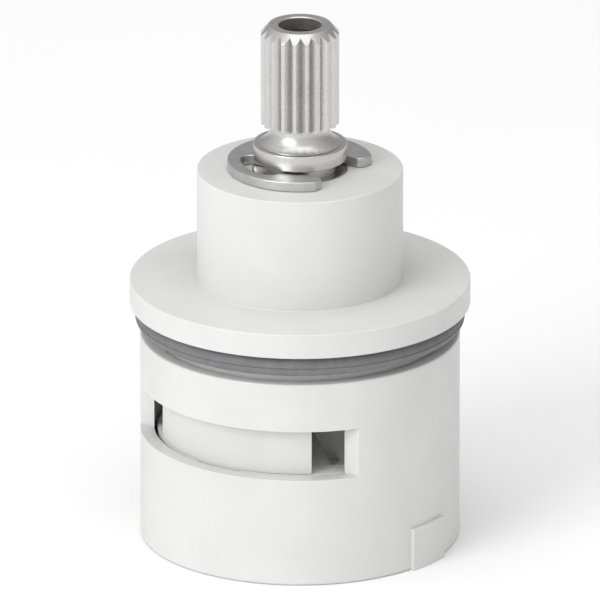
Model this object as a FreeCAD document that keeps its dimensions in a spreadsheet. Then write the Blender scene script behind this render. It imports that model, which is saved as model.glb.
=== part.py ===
import FreeCAD, Part
import Sketcher
import math
import operator
import os
import types

from FreeCAD import Placement, Rotation, Vector

# Diverter cartridge: a ceramic disc valve with a splined stem, in millimetres.
# The origin lies on the stem axis at the bottom face, +Z points along the stem,
# the side window faces -Y and the locating tab faces +X.

doc = FreeCAD.newDocument("diverter_cartridge")

# Driving dimensions, in millimetres and degrees.
DIMENSIONS = {
    # Outer sleeve
    "body_radius": 16.0,
    "body_wall": 1.4,
    "sleeve_height": 21.33,
    "lip_height": 1.2,
    "lip_width": 1.3,
    "window_height": 5.15,
    "window_cut": 8.85,
    "tab_depth": 0.4,
    "tab_width": 5.07,
    "tab_height": 4.37,
    "tab_turn": -2.15,
    # Running gaps and fits
    "seat_gap": 0.02,
    "fit_gap": 0.05,
    "rotor_gap": 0.35,
    # Key between sleeve, base and bonnet
    "key_width": 2.4,
    "key_depth": 0.5,
    # Snap bead that holds the bonnet in the sleeve
    "bead_depth": 0.2,
    "bead_height": 0.9,
    "bead_drop": 1.1,
    # Base insert and its water ports
    "base_height": 4.15,
    "seal_height": 1.3,
    "seal_wall": 1.0,
    "seal_web": 0.5,
    "seal_inner": 3.4,
    "seal_rim": 1.95,
    "disc_key_width": 3.0,
    "disc_key_height": 2.6,
    "disc_key_depth": 1.05,
    # Ceramic discs
    "fixed_disc_thickness": 3.5,
    "moving_disc_thickness": 3.5,
    "port_web": 1.06,
    "port_inner": 4.0,
    "moving_port_inner": 2.2,
    "port_rim": 2.25,
    "drive_notch_width": 5.0,
    "drive_notch_depth": 1.55,
    "drive_lug_height": 1.6,
    # Disc carrier
    "carrier_wall_angle": 39.7,
    "carrier_wall_height": 5.4,
    "carrier_wall": 2.1,
    "carrier_plate_thickness": 1.4,
    "carrier_hub_radius": 7.0,
    "carrier_hub_height": 2.6,
    "slip_ring_thickness": 0.5,
    "slip_ring_clearance": 0.65,
    # Bonnet
    "ring_groove_height": 3.13,
    "flange_reach": 1.04,
    "flange_thickness": 2.54,
    "hub_radius": 10.3,
    "hub_height": 11.55,
    # Flange O-ring
    "flange_ring_section": 1.93,
    "flange_ring_drop": 0.32,
    # Stem
    "shaft_radius": 4.66,
    "shaft_length": 5.05,
    "stem_radius": 6.4,
    "foot_radius": 5.0,
    "foot_flat": 2.5,
    "foot_rise": 0.3,
    "collar_radius": 4.68,
    "collar_height": 1.61,
    "neck_radius": 2.97,
    "neck_flare": 1.2,
    "neck_height": 2.08,
    "spline_length": 10.36,
    "spline_crest": 3.93,
    "spline_root": 3.40,
    "spline_land_angle": 2.4,
    "spline_teeth": 20,
    "spline_chamfer_width": 0.8,
    "spline_chamfer_height": 0.9,
    "thread_bore_radius": 2.15,
    "thread_bore_depth": 10.0,
    "drill_point_angle": 59.0,
    # Stem O-rings
    "stem_ring_section": 1.5,
    "stem_groove_width": 1.9,
    "stem_ring_drop": 2.6,
    "stem_ring_pitch": 3.8,
    "stem_ring_gap": 0.03,
    # Thrust washer and stop ring
    "washer_thickness": 0.6,
    "stop_ring_thickness": 1.4,
    "stop_lug_radius": 9.4,
    "stop_lug_angle": 12.0,
    "stop_margin": 1.0,
    "stem_travel": 90.0,
    # Retaining clip
    "clip_groove_radius": 3.55,
    "clip_groove_height": 1.16,
    "clip_radius": 7.24,
    "clip_thickness": 1.0,
    "clip_mouth": 3.3,
    "clip_front": 5.3,
    "clip_cut_radius": 5.95,
    "clip_cut_front": 1.0,
    "clip_back_lug": 1.875,
    "clip_front_fillet": 1.5,
    "clip_back_fillet": 1.0,
    "clip_tip_fillet": 0.8,
}

sheet = doc.addObject("Spreadsheet::Sheet", "Sizes")
for row, (alias, amount) in enumerate(DIMENSIONS.items(), start=1):
    sheet.set(f"A{row}", alias)
    sheet.set(f"B{row}", str(amount))
    sheet.setAlias(f"B{row}", alias)
doc.recompute()


class Size:
    """A length or angle: its number, and the spreadsheet expression that gives it."""

    def __init__(self, number, text):
        self.number = number
        self.text = text

    def __add__(self, other):
        return combine(self, other, "+", operator.add)

    def __sub__(self, other):
        return combine(self, other, "-", operator.sub)

    def __mul__(self, other):
        return combine(self, other, "*", operator.mul)

    def __truediv__(self, other):
        return combine(self, other, "/", operator.truediv)

    def __rmul__(self, other):
        return combine(as_size(other), self, "*", operator.mul)

    def __neg__(self):
        return Size(-self.number, f"-({self.text})")


def as_size(item):
    return item if isinstance(item, Size) else Size(float(item), str(item))


def combine(left, right, sign, action):
    left = as_size(left)
    right = as_size(right)
    return Size(action(left.number, right.number), f"({left.text} {sign} {right.text})")


def root(item):
    return Size(math.sqrt(item.number), f"sqrt({item.text})")


def sine(angle):
    return Size(math.sin(math.radians(angle.number)), f"sin({angle.text})")


def cosine(angle):
    return Size(math.cos(math.radians(angle.number)), f"cos({angle.text})")


def tangent(angle):
    return Size(math.tan(math.radians(angle.number)), f"tan({angle.text})")


ZERO = Size(0.0, "0")
size = types.SimpleNamespace(
    **{alias: Size(float(amount), f"Sizes.{alias}") for alias, amount in DIMENSIONS.items()}
)

# Radii that follow from the driving dimensions
sleeve_bore = size.body_radius - size.body_wall
rotor_radius = sleeve_bore - size.rotor_gap
spigot_radius = sleeve_bore - size.fit_gap
tab_radius = size.body_radius + size.tab_depth
flange_radius = size.body_radius + size.flange_reach
seal_outer = spigot_radius - size.seal_rim
port_outer = rotor_radius - size.port_rim
disc_key_radius = rotor_radius - size.disc_key_depth
drive_notch_radius = rotor_radius - size.drive_notch_depth
stem_bore = size.stem_radius + size.fit_gap
shaft_bore = size.shaft_radius + size.fit_gap
carrier_hub_bore = size.carrier_hub_radius + size.fit_gap * 4

# Levels above the bottom face, from the base up to the stem end
fixed_disc_level = size.base_height + size.seat_gap
moving_disc_level = fixed_disc_level + size.fixed_disc_thickness + size.seat_gap
disc_top = moving_disc_level + size.moving_disc_thickness
carrier_level = disc_top + size.seat_gap
carrier_plate_level = carrier_level + size.carrier_wall_height
carrier_plate_top = carrier_plate_level + size.carrier_plate_thickness
carrier_top = carrier_plate_top + size.carrier_hub_height
slip_ring_level = carrier_plate_top + size.seat_gap
bonnet_level = slip_ring_level + size.slip_ring_thickness + size.seat_gap
stop_ring_level = carrier_top + size.seat_gap
stem_level = stop_ring_level + size.stop_ring_thickness + size.seat_gap
flange_level = size.sleeve_height + size.ring_groove_height
flange_top = flange_level + size.flange_thickness
hub_top = flange_top + size.hub_height
shoulder_level = hub_top - size.shaft_length
washer_level = shoulder_level + size.seat_gap
bonnet_step = washer_level + size.washer_thickness + size.seat_gap
clip_level = hub_top + size.seat_gap
collar_level = hub_top + size.clip_groove_height
collar_top = collar_level + size.collar_height
spline_level = collar_top + size.neck_height
stem_top = spline_level + size.spline_length


def bind(item, path, amount):
    """Tie a property to the spreadsheet."""
    item.setExpression(path, as_size(amount).text)


def new_body(label):
    body = doc.addObject("PartDesign::Body", label)
    body.Label = label
    return body


def origin_feature(body, role):
    return next(item for item in body.Origin.OriginFeatures if item.Role == role)


def new_sketch(body, name, level=None, turn=None, role="XY_Plane"):
    """A sketch on one of the body's origin planes, raised and turned as asked."""
    sketch = body.newObject("Sketcher::SketchObject", f"{body.Label}_{name}")
    sketch.AttachmentSupport = [(origin_feature(body, role), "")]
    sketch.MapMode = "FlatFace"
    if turn is not None:
        sketch.AttachmentOffset = Placement(Vector(0, 0, 0), Rotation(Vector(0, 0, 1), turn.number))
        bind(sketch, "AttachmentOffset.Rotation.Angle", turn)
    if level is not None:
        bind(sketch, "AttachmentOffset.Base.z", level)
    return sketch


def place_point(sketch, geometry, end, kind, amount):
    """Hold one coordinate of a sketch point."""
    if abs(amount.number) < 1e-9:
        axis = -2 if kind == "DistanceX" else -1
        sketch.addConstraint(Sketcher.Constraint("PointOnObject", geometry, end, axis))
        return
    if amount.number < 0:
        rule = Sketcher.Constraint(kind, geometry, end, -1, 1, -amount.number)
        amount = -amount
    else:
        rule = Sketcher.Constraint(kind, -1, 1, geometry, end, amount.number)
    index = sketch.addConstraint(rule)
    sketch.setExpression(f"Constraints[{index}]", amount.text)


def arc_between(start, finish, radius, anticlockwise):
    """The minor arc from start to finish."""
    if not anticlockwise:
        start, finish = finish, start
    chord = finish - start
    middle = (start + finish) * 0.5
    rise = math.sqrt(radius * radius - chord.Length * chord.Length / 4)
    centre = middle + Vector(-chord.y, chord.x, 0).normalize() * rise
    first = math.atan2(start.y - centre.y, start.x - centre.x)
    last = math.atan2(finish.y - centre.y, finish.x - centre.x)
    circle = Part.Circle(centre, Vector(0, 0, 1), radius)
    return Part.ArcOfCircle(circle, first, last)


def outline(sketch, corners):
    """Draw a closed loop. A corner is (x, y), or (x, y, radius, anticlockwise) before an arc."""
    corners = [tuple(as_size(part) for part in corner[:2]) + tuple(corner[2:]) for corner in corners]
    points = [Vector(corner[0].number, corner[1].number, 0) for corner in corners]
    edges = []
    for index, corner in enumerate(corners):
        start = points[index]
        finish = points[(index + 1) % len(points)]
        if len(corner) == 2:
            edges.append((sketch.addGeometry(Part.LineSegment(start, finish), False), 1, 2))
            continue
        radius, anticlockwise = corner[2:]
        arc = sketch.addGeometry(arc_between(start, finish, radius.number, anticlockwise), False)
        edges.append((arc, 1, 2) if anticlockwise else (arc, 2, 1))
    for index, (geometry, leaves, arrives) in enumerate(edges):
        before, _, reached = edges[index - 1]
        sketch.addConstraint(Sketcher.Constraint("Coincident", before, reached, geometry, leaves))
        place_point(sketch, geometry, leaves, "DistanceX", corners[index][0])
        place_point(sketch, geometry, leaves, "DistanceY", corners[index][1])
        if len(corners[index]) > 2:
            radius = corners[index][2]
            rule = Sketcher.Constraint("Radius", geometry, radius.number)
            sketch.setExpression(f"Constraints[{sketch.addConstraint(rule)}]", radius.text)


def circle(sketch, radius):
    """Draw a circle about the stem axis."""
    shape = Part.Circle(Vector(0, 0, 0), Vector(0, 0, 1), radius.number)
    geometry = sketch.addGeometry(shape, False)
    sketch.addConstraint(Sketcher.Constraint("Coincident", geometry, 3, -1, 1))
    index = sketch.addConstraint(Sketcher.Constraint("Radius", geometry, radius.number))
    sketch.setExpression(f"Constraints[{index}]", radius.text)


def box_outline(sketch, left, right, front, back):
    outline(sketch, [(left, front), (right, front), (right, back), (left, back)])


def sector_corners(inner, outer, half_angle):
    """A ring sector centred on +X."""
    across = cosine(half_angle)
    up = sine(half_angle)
    return [
        (inner * across, -(inner * up)),
        (outer * across, -(outer * up), outer, True),
        (outer * across, outer * up),
        (inner * across, inner * up, inner, False),
    ]


def port_corners(web, inner, outer):
    """A water port centred on +X: a quarter of a ring, less half a web along each diagonal."""
    shift = web * math.sqrt(2)

    def corner(radius):
        reach = root(2 * radius * radius - shift * shift)
        return (reach + shift) / 2, (reach - shift) / 2

    inner_x, inner_y = corner(inner)
    outer_x, outer_y = corner(outer)
    return [
        (inner_x, -inner_y),
        (outer_x, -outer_y, outer, True),
        (outer_x, outer_y),
        (inner_x, inner_y, inner, False),
    ]


def double_flat_corners(radius, flat):
    """A round shaft section with two flats facing +Y and -Y."""
    reach = root(radius * radius - flat * flat)
    return [
        (-reach, -flat),
        (reach, -flat, radius, True),
        (reach, flat),
        (-reach, flat, radius, True),
    ]


def pad(body, sketch, length, downward=False):
    feature = body.newObject("PartDesign::Pad", sketch.Name + "_pad")
    feature.Profile = sketch
    feature.Reversed = downward
    bind(feature, "Length", length)
    sketch.Visibility = False
    return feature


def pocket(body, sketch, length, upward=False):
    feature = body.newObject("PartDesign::Pocket", sketch.Name + "_cut")
    feature.Profile = sketch
    feature.Reversed = upward
    bind(feature, "Length", length)
    sketch.Visibility = False
    return feature


def revolve(body, corners):
    """Turn a profile of (radius, height) corners about the stem axis."""
    sketch = new_sketch(body, "profile", role="XZ_Plane")
    outline(sketch, corners)
    feature = body.newObject("PartDesign::Revolution", body.Label + "_turned")
    feature.Profile = sketch
    feature.ReferenceAxis = (sketch, ["V_Axis"])
    feature.Angle = 360
    sketch.Visibility = False
    return feature


def repeat(body, features, count):
    """Repeat features round the stem axis."""
    pattern = body.newObject("PartDesign::PolarPattern", features[0].Name + "_pattern")
    pattern.Originals = features
    pattern.Axis = (origin_feature(body, "Z_Axis"), [""])
    pattern.Angle = 360
    if isinstance(count, Size):
        bind(pattern, "Occurrences", count)
    else:
        pattern.Occurrences = count
    body.Tip = pattern
    return pattern


def round_upright_edges(body, radius, places):
    """Round the upright edges that stand at the given (x, y) places."""
    doc.recompute()
    base = body.Tip
    names = []
    for index, edge in enumerate(base.Shape.Edges, start=1):
        low, high = edge.BoundBox.ZMin, edge.BoundBox.ZMax
        middle = edge.BoundBox.Center
        for x, y in places:
            near = math.hypot(middle.x - x.number, middle.y - y.number) < 1e-3
            if near and high - low > 1e-3:
                names.append(f"Edge{index}")
    if len(names) != len(places):
        raise RuntimeError(f"{body.Label}: found {len(names)} of {len(places)} upright edges")
    feature = body.newObject("PartDesign::Fillet", f"{body.Label}_round_{len(body.Group)}")
    feature.Base = (base, names)
    bind(feature, "Radius", radius)
    body.Tip = feature
    return feature


def ring_plate(label, inner, outer, level, thickness):
    """A flat ring: two circles padded from the given level."""
    body = new_body(label)
    sketch = new_sketch(body, "ring", level)
    circle(sketch, inner)
    circle(sketch, outer)
    pad(body, sketch, thickness)
    return body


def o_ring(label, inner_radius, section, level):
    """A round-section ring that lies at its resting level."""
    torus = doc.addObject("Part::Torus", label)
    torus.Label = label
    bind(torus, "Radius1", inner_radius + section / 2)
    bind(torus, "Radius2", section / 2)
    bind(torus, "Placement.Base.z", level)
    return torus


# Outer sleeve: turned shell with a bottom lip, side window, locating tab, keyway and snap groove
def make_outer_sleeve():
    body = new_body("outer_sleeve")
    lip_radius = sleeve_bore - size.lip_width
    bead_middle = size.sleeve_height - size.bead_drop
    bead_reach = size.bead_height / 2 + size.fit_gap
    bead_depth = size.bead_depth + size.fit_gap
    revolve(body, [
        (lip_radius, ZERO),
        (size.body_radius, ZERO),
        (size.body_radius, size.sleeve_height),
        (sleeve_bore, size.sleeve_height),
        (sleeve_bore, bead_middle + bead_reach),
        (sleeve_bore + bead_depth, bead_middle + bead_reach - bead_depth),
        (sleeve_bore + bead_depth, bead_middle - bead_reach + bead_depth),
        (sleeve_bore, bead_middle - bead_reach),
        (sleeve_bore, size.lip_height),
        (lip_radius, size.lip_height),
    ])
    window = new_sketch(body, "window", disc_top)
    reach = size.body_radius + 1
    box_outline(window, -reach, reach, -reach, -size.window_cut)
    pocket(body, window, size.window_height, upward=True)
    keyway = new_sketch(body, "keyway", size.lip_height)
    half = size.key_width / 2
    box_outline(keyway, -half, half, sleeve_bore - 1, sleeve_bore + size.key_depth)
    pocket(body, keyway, size.sleeve_height - size.lip_height, upward=True)
    tab = new_sketch(body, "tab", ZERO, size.tab_turn)
    half = size.tab_width / 2
    edge = root(tab_radius * tab_radius - half * half)
    middle = size.body_radius - size.body_wall / 2
    outline(tab, [(middle, -half), (edge, -half, tab_radius, True), (edge, half), (middle, half)])
    pad(body, tab, size.tab_height)
    return body


# Base insert: round plate with four water ports, seal seats on both faces and two disc keys
def make_base_insert():
    body = new_body("base_insert")
    neck = sleeve_bore - size.lip_width - size.fit_gap
    ledge = size.lip_height + size.seat_gap
    revolve(body, [
        (ZERO, ZERO),
        (neck, ZERO),
        (neck, ledge),
        (spigot_radius, ledge),
        (spigot_radius, size.base_height),
        (ZERO, size.base_height),
    ])
    hole = new_sketch(body, "port", ZERO)
    wall = size.seal_wall
    corners = port_corners(size.seal_web + wall, size.seal_inner + wall, seal_outer - wall)
    outline(hole, corners)
    repeat(body, [pocket(body, hole, size.base_height, upward=True)], 4)
    for side, level, upward in (("bottom", ZERO, True), ("top", size.base_height, False)):
        seat = new_sketch(body, f"{side}_seat", level)
        outline(seat, port_corners(size.seal_web, size.seal_inner, seal_outer))
        repeat(body, [pocket(body, seat, size.seal_height, upward=upward)], 4)
    key = new_sketch(body, "disc_key", size.base_height, Size(45.0, "45"))
    half = size.disc_key_width / 2
    box_outline(key, disc_key_radius, rotor_radius, -half, half)
    repeat(body, [pad(body, key, size.disc_key_height)], 2)
    rib = new_sketch(body, "rib", ledge)
    half = size.key_width / 2 - size.fit_gap
    box_outline(rib, -half, half, spigot_radius - 1, sleeve_bore + size.key_depth - size.fit_gap)
    pad(body, rib, size.base_height - ledge)
    return body


# Rubber seals: one round each port, four under the fixed disc and four in the bottom face
def make_port_seal(label, quarter, level):
    body = new_body(label)
    sketch = new_sketch(body, "ring", level)
    gap = size.seat_gap
    wall = size.seal_wall
    outline(sketch, port_corners(size.seal_web + gap, size.seal_inner + gap, seal_outer - gap))
    outline(sketch, port_corners(size.seal_web + wall, size.seal_inner + wall, seal_outer - wall))
    pad(body, sketch, size.seal_height)
    body.Placement = Placement(Vector(0, 0, 0), Rotation(Vector(0, 0, 1), 90 * quarter))
    return body


# Fixed ceramic disc: four ports, and two rim notches for the keys of the base
def make_fixed_disc():
    body = new_body("fixed_disc")
    blank = new_sketch(body, "blank", fixed_disc_level)
    circle(blank, rotor_radius)
    pad(body, blank, size.fixed_disc_thickness)
    port = new_sketch(body, "port", fixed_disc_level)
    outline(port, port_corners(size.port_web, size.port_inner, port_outer))
    repeat(body, [pocket(body, port, size.fixed_disc_thickness, upward=True)], 4)
    notch = new_sketch(body, "notch", fixed_disc_level, Size(45.0, "45"))
    half = size.disc_key_width / 2 + size.fit_gap
    box_outline(notch, disc_key_radius - size.fit_gap, rotor_radius + 1, -half, half)
    repeat(body, [pocket(body, notch, size.fixed_disc_thickness, upward=True)], 2)
    return body


# Moving ceramic disc: two opposite ports, and two rim notches for the lugs of the carrier
def make_moving_disc():
    body = new_body("moving_disc")
    blank = new_sketch(body, "blank", moving_disc_level)
    circle(blank, rotor_radius)
    pad(body, blank, size.moving_disc_thickness)
    port = new_sketch(body, "port", moving_disc_level)
    outline(port, port_corners(size.port_web, size.moving_port_inner, port_outer))
    repeat(body, [pocket(body, port, size.moving_disc_thickness, upward=True)], 2)
    notch = new_sketch(body, "notch", moving_disc_level)
    half = size.drive_notch_width / 2
    box_outline(notch, -half, half, -(rotor_radius + 1), -drive_notch_radius)
    repeat(body, [pocket(body, notch, size.moving_disc_thickness, upward=True)], 2)
    return body


# Disc carrier: round plate with a stem socket, and two curved walls that turn the moving disc
def make_disc_carrier():
    body = new_body("disc_carrier")
    plate = new_sketch(body, "plate", carrier_plate_level)
    circle(plate, rotor_radius)
    pad(body, plate, size.carrier_plate_thickness)
    hub = new_sketch(body, "hub", carrier_plate_top)
    circle(hub, size.carrier_hub_radius)
    pad(body, hub, size.carrier_hub_height)
    wall = new_sketch(body, "wall", carrier_level, Size(-90.0, "-90"))
    outline(wall, sector_corners(rotor_radius - size.carrier_wall, rotor_radius, size.carrier_wall_angle))
    wall_pad = pad(body, wall, size.carrier_wall_height)
    lug = new_sketch(body, "lug", carrier_level)
    half = size.drive_notch_width / 2 - size.fit_gap
    inner = drive_notch_radius + size.fit_gap
    edge = root(rotor_radius * rotor_radius - half * half)
    outline(lug, [(-half, -edge, rotor_radius, True), (half, -edge), (half, -inner), (-half, -inner)])
    lug_pad = pad(body, lug, size.drive_lug_height, downward=True)
    repeat(body, [wall_pad, lug_pad], 2)
    socket = new_sketch(body, "socket", carrier_top)
    outline(socket, double_flat_corners(size.foot_radius + size.fit_gap, size.foot_flat + size.fit_gap))
    pocket(body, socket, size.carrier_hub_height + size.carrier_plate_thickness)
    return body


# Bonnet: turned hub, flange and spigot, with the stem bore, the stop recess and the key rib
def make_bonnet():
    body = new_body("bonnet")
    stop_roof = stem_level + size.seat_gap
    bead_middle = size.sleeve_height - size.bead_drop
    half_bead = size.bead_height / 2
    bead_radius = spigot_radius + size.bead_depth
    revolve(body, [
        (carrier_hub_bore, bonnet_level),
        (spigot_radius, bonnet_level),
        (spigot_radius, bead_middle - half_bead),
        (bead_radius, bead_middle - half_bead + size.bead_depth),
        (bead_radius, bead_middle + half_bead - size.bead_depth),
        (spigot_radius, bead_middle + half_bead),
        (spigot_radius, flange_level),
        (flange_radius, flange_level),
        (flange_radius, flange_top),
        (size.hub_radius, flange_top),
        (size.hub_radius, hub_top),
        (shaft_bore, hub_top),
        (shaft_bore, bonnet_step),
        (stem_bore, bonnet_step),
        (stem_bore, stop_roof),
        (carrier_hub_bore, stop_roof),
    ])
    recess = new_sketch(body, "recess", bonnet_level)
    half_angle = size.stem_travel / 2 + size.stop_lug_angle + size.stop_margin
    inner = size.carrier_hub_radius
    outer = size.stop_lug_radius + size.fit_gap * 4
    outline(recess, sector_corners(inner, outer, half_angle))
    pocket(body, recess, stop_roof - bonnet_level, upward=True)
    rib = new_sketch(body, "rib", bonnet_level)
    half = size.key_width / 2 - size.fit_gap
    box_outline(rib, -half, half, spigot_radius - 1, sleeve_bore + size.key_depth - size.fit_gap)
    pad(body, rib, size.sleeve_height - bonnet_level - size.fit_gap)
    return body


# Stem: drive foot, two seal grooves, shaft, clip groove, collar, flared neck and splined end
def make_stem():
    body = new_body("stem")
    groove_root = stem_bore - size.stem_ring_gap - size.stem_ring_section - size.seat_gap
    half_groove = size.stem_groove_width / 2
    upper = shoulder_level - size.stem_ring_drop
    lower = upper - size.stem_ring_pitch
    flare_top = collar_top + size.neck_flare
    chamfer_radius = size.spline_crest - size.spline_chamfer_width
    bore_bottom = stem_top - size.thread_bore_depth
    point_depth = size.thread_bore_radius / tangent(size.drill_point_angle)
    revolve(body, [
        (ZERO, stem_level),
        (size.stem_radius, stem_level),
        (size.stem_radius, lower - half_groove),
        (groove_root, lower - half_groove),
        (groove_root, lower + half_groove),
        (size.stem_radius, lower + half_groove),
        (size.stem_radius, upper - half_groove),
        (groove_root, upper - half_groove),
        (groove_root, upper + half_groove),
        (size.stem_radius, upper + half_groove),
        (size.stem_radius, shoulder_level),
        (size.shaft_radius, shoulder_level),
        (size.shaft_radius, hub_top),
        (size.clip_groove_radius, hub_top),
        (size.clip_groove_radius, collar_level),
        (size.collar_radius, collar_level),
        (size.collar_radius, collar_top),
        (size.neck_radius + size.neck_flare, collar_top, size.neck_flare, False),
        (size.neck_radius, flare_top),
        (size.neck_radius, spline_level),
        (size.spline_crest, spline_level),
        (size.spline_crest, stem_top - size.spline_chamfer_height),
        (chamfer_radius, stem_top),
        (size.thread_bore_radius, stem_top),
        (size.thread_bore_radius, bore_bottom),
        (ZERO, bore_bottom - point_depth),
    ])
    foot = new_sketch(body, "foot", stem_level)
    outline(foot, double_flat_corners(size.foot_radius, size.foot_flat))
    pad(body, foot, stem_level - carrier_plate_level - size.foot_rise, downward=True)
    groove = new_sketch(body, "spline", stem_top)
    edge_angle = Size(180.0, "180") / size.spline_teeth - size.spline_land_angle
    depth = (size.spline_crest * cosine(edge_angle) - size.spline_root) * 1.5
    width = size.spline_crest * sine(edge_angle) * 1.5
    outline(groove, [(size.spline_root, ZERO), (size.spline_root + depth, -width),
                     (size.spline_root + depth, width)])
    repeat(body, [pocket(body, groove, size.spline_length)], size.spline_teeth)
    return body


# Stop ring: flat ring keyed to the foot of the stem, whose lug runs in the recess of the bonnet
def make_stop_ring():
    body = new_body("stop_ring")
    ring = new_sketch(body, "ring", stop_ring_level)
    circle(ring, size.carrier_hub_radius)
    pad(body, ring, size.stop_ring_thickness)
    lug = new_sketch(body, "lug", stop_ring_level, -(size.stem_travel / 2))
    inner = size.carrier_hub_radius - 1
    outline(lug, sector_corners(inner, size.stop_lug_radius, size.stop_lug_angle))
    pad(body, lug, size.stop_ring_thickness)
    hole = new_sketch(body, "hole", stop_ring_level)
    outline(hole, double_flat_corners(size.foot_radius + size.fit_gap, size.foot_flat + size.fit_gap))
    pocket(body, hole, size.stop_ring_thickness, upward=True)
    return body


# Retaining clip: an E-clip that grips the groove of the stem with three lugs
def make_retaining_clip():
    body = new_body("retaining_clip")
    blank = new_sketch(body, "blank", clip_level)
    circle(blank, size.clip_radius)
    circle(blank, size.clip_groove_radius + size.seat_gap)
    pad(body, blank, size.clip_thickness)
    reach = size.clip_radius + 1
    mouth = new_sketch(body, "mouth", clip_level)
    box_outline(mouth, ZERO, reach, -size.clip_mouth, size.clip_mouth)
    pocket(body, mouth, size.clip_thickness, upward=True)
    front = new_sketch(body, "front", clip_level)
    box_outline(front, size.clip_front, reach, -reach, reach)
    pocket(body, front, size.clip_thickness, upward=True)
    cut = size.clip_cut_radius
    front_y = root(cut * cut - size.clip_cut_front * size.clip_cut_front)
    back_x = root(cut * cut - size.clip_back_lug * size.clip_back_lug)
    inside = size.clip_groove_radius * 0.85
    for name, side in (("upper", 1), ("lower", -1)):
        crescent = new_sketch(body, name, clip_level)
        anticlockwise = side > 0
        outline(crescent, [
            (size.clip_cut_front, inside * side),
            (size.clip_cut_front, front_y * side, cut, anticlockwise),
            (-back_x, size.clip_back_lug * side),
            (-(inside * 0.8), size.clip_back_lug * side),
        ])
        pocket(body, crescent, size.clip_thickness, upward=True)
    fronts = [(size.clip_cut_front, front_y), (size.clip_cut_front, -front_y)]
    backs = [(-back_x, size.clip_back_lug), (-back_x, -size.clip_back_lug)]
    tips = [(size.clip_front, size.clip_mouth), (size.clip_front, -size.clip_mouth)]
    round_upright_edges(body, size.clip_front_fillet, fronts)
    round_upright_edges(body, size.clip_back_fillet, backs)
    round_upright_edges(body, size.clip_tip_fillet, tips)
    return body


def make_parts():
    """Every separate piece of the cartridge, from the sleeve inward and upward."""
    stem_ring_inner = stem_bore - size.stem_ring_gap - size.stem_ring_section
    upper_ring_level = shoulder_level - size.stem_ring_drop
    flange_ring_level = flange_level - size.flange_ring_drop - size.flange_ring_section / 2
    parts = [make_outer_sleeve(), make_base_insert()]
    for quarter in range(4):
        top_level = size.base_height - size.seal_height
        parts.append(make_port_seal(f"bottom_seal_{quarter + 1}", quarter, ZERO))
        parts.append(make_port_seal(f"disc_seal_{quarter + 1}", quarter, top_level))
    parts += [
        make_fixed_disc(),
        make_moving_disc(),
        make_disc_carrier(),
        ring_plate("slip_ring", size.carrier_hub_radius + size.slip_ring_clearance, rotor_radius,
                   slip_ring_level, size.slip_ring_thickness),
        make_bonnet(),
        o_ring("flange_o_ring", spigot_radius + size.seat_gap, size.flange_ring_section,
               flange_ring_level),
        make_stem(),
        o_ring("stem_o_ring_upper", stem_ring_inner, size.stem_ring_section, upper_ring_level),
        o_ring("stem_o_ring_lower", stem_ring_inner, size.stem_ring_section,
               upper_ring_level - size.stem_ring_pitch),
        make_stop_ring(),
        ring_plate("thrust_washer", shaft_bore, size.stem_radius - size.fit_gap,
                   washer_level, size.washer_thickness),
        make_retaining_clip(),
    ]
    return parts


def check_document(parts):
    """Stop on a failed object, a broken shape, or a feature that changes nothing."""
    for item in doc.Objects:
        if "Invalid" in item.State or "Error" in item.State:
            raise RuntimeError(f"{item.Name} failed: {item.State}")
    for item in parts:
        shape = item.Shape
        if shape.isNull() or not shape.isValid() or len(shape.Solids) != 1:
            raise RuntimeError(f"{item.Label} has no valid single solid")
        volume = 0.0
        for feature in getattr(item, "Group", []):
            if not feature.isDerivedFrom("PartDesign::Feature"):
                continue
            if abs(feature.Shape.Volume - volume) < 1e-6:
                raise RuntimeError(f"{feature.Name} changes nothing")
            volume = feature.Shape.Volume


def export(parts):
    os.makedirs("parts", exist_ok=True)
    for item in parts:
        item.Shape.exportStep(f"parts/{item.Label}.step")
        print(f"{item.Label}: {item.Shape.Volume:.1f} mm3, {len(item.Shape.Faces)} faces")


parts = make_parts()
doc.recompute()
check_document(parts)
export(parts)
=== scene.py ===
import math

import bmesh
import bpy
import numpy as np
from mathutils import Matrix, Vector


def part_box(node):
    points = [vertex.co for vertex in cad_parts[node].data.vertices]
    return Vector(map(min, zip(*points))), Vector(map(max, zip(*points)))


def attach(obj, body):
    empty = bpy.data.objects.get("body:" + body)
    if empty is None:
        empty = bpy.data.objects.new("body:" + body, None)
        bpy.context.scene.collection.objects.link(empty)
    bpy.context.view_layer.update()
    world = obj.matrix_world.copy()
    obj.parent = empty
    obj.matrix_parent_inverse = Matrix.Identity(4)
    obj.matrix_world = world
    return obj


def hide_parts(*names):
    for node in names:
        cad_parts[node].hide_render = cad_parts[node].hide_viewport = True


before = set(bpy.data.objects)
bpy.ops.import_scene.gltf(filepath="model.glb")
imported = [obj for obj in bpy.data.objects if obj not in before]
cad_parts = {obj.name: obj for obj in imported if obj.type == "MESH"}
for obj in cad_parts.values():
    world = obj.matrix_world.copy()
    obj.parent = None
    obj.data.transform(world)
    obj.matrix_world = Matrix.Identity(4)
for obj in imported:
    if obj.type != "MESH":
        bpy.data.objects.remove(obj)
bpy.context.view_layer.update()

# Shapes are built in millimetres and scaled to metres when they join the frame.
MM = 0.001
X, Y, Z = 0, 1, 2
FULL_TURN = 2 * math.pi


def span(node, axis):
    """Lowest and highest value of a CAD node along one axis, in millimetres."""
    low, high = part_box(node)
    return low[axis] / MM, high[axis] / MM


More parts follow.
